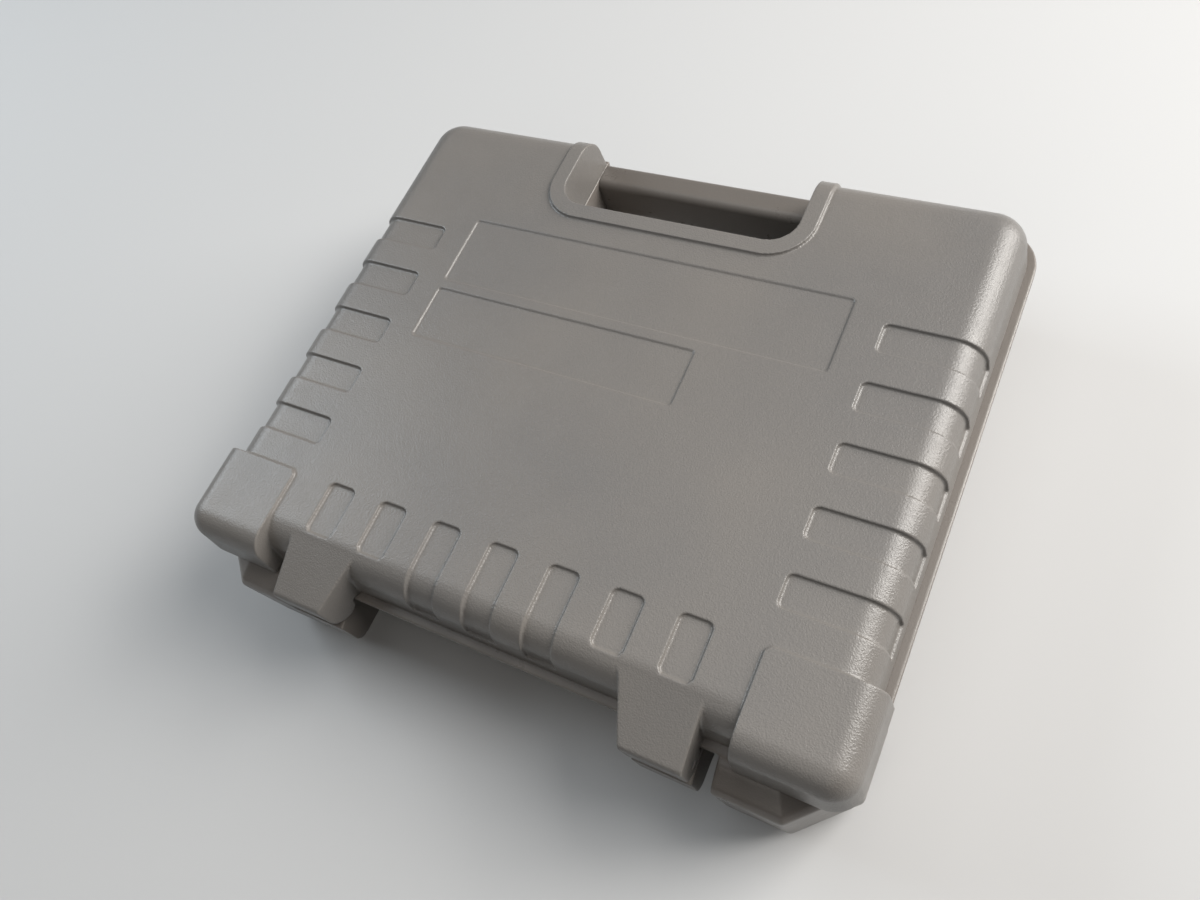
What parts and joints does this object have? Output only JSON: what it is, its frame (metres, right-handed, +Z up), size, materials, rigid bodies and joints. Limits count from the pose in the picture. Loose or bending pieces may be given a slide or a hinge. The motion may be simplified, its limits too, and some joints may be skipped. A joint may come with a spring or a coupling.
{
  "type": "guitar pedal case",
  "caption": "Hard plastic carrying case for compact effect pedals: hinged lid, flip latches, grip bar across a hand hole, foam bays.",
  "frame": {"origin": "on the ground under the middle of the closed case's bounding box, the case lying on its feet", "axes": "+Z up through the lid's face, +Y towards the handle side, X from side to side with +X on the right seen from the hinge side"},
  "size_m": [0.3688, 0.316, 0.0997],
  "materials": {
    "lid_plastic": "charcoal moulded plastic with a fine leather grain and a satin sheen",
    "base_plastic": "charcoal moulded plastic, smoother than the lid, slightly brown",
    "latch_plastic": "dark moulded plastic, satin",
    "steel": "plain drawn steel",
    "foot_rubber": "matt black rubber",
    "foam": "cut faces of dark grey open-cell foam"
  },
  "bodies": {
    "base": {"base_shell": "base_plastic", "handle_grip": "base_plastic", "grip_screws": "steel", "hinge_pin_left": "steel", "hinge_pin_right": "steel", "foot_front_left": "foot_rubber", "foot_front_right": "foot_rubber", "foot_rear_left": "foot_rubber", "foot_rear_right": "foot_rubber", "floor_pad": "foam", "foam_end_left": "foam", "foam_end_right": "foam", "foam_front": "foam", "foam_rear": "foam", "foam_divider_left": "foam", "foam_divider_right": "foam"},
    "lid": {"lid_shell": "lid_plastic", "lid_pad": "foam", "latch_pin_left": "steel", "latch_pin_right": "steel"},
    "latch_left": {"latch_left": "latch_plastic"},
    "latch_right": {"latch_right": "latch_plastic"}
  },
  "joints": [
    {"name": "lid_hinge", "type": "hinge", "parent": "base", "child": "lid", "pos_m": [0, -0.1505, 0.07], "axis": [1, 0, 0], "range_deg": [0, 110]},
    {"name": "latch_left_pivot", "type": "hinge", "parent": "lid", "child": "latch_left", "pos_m": [-0.122, 0.1495, 0.0802], "axis": [1, 0, 0], "range_deg": [0, 100]},
    {"name": "latch_right_pivot", "type": "hinge", "parent": "lid", "child": "latch_right", "pos_m": [0.122, 0.1495, 0.0802], "axis": [1, 0, 0], "range_deg": [0, 100]}
  ]
}
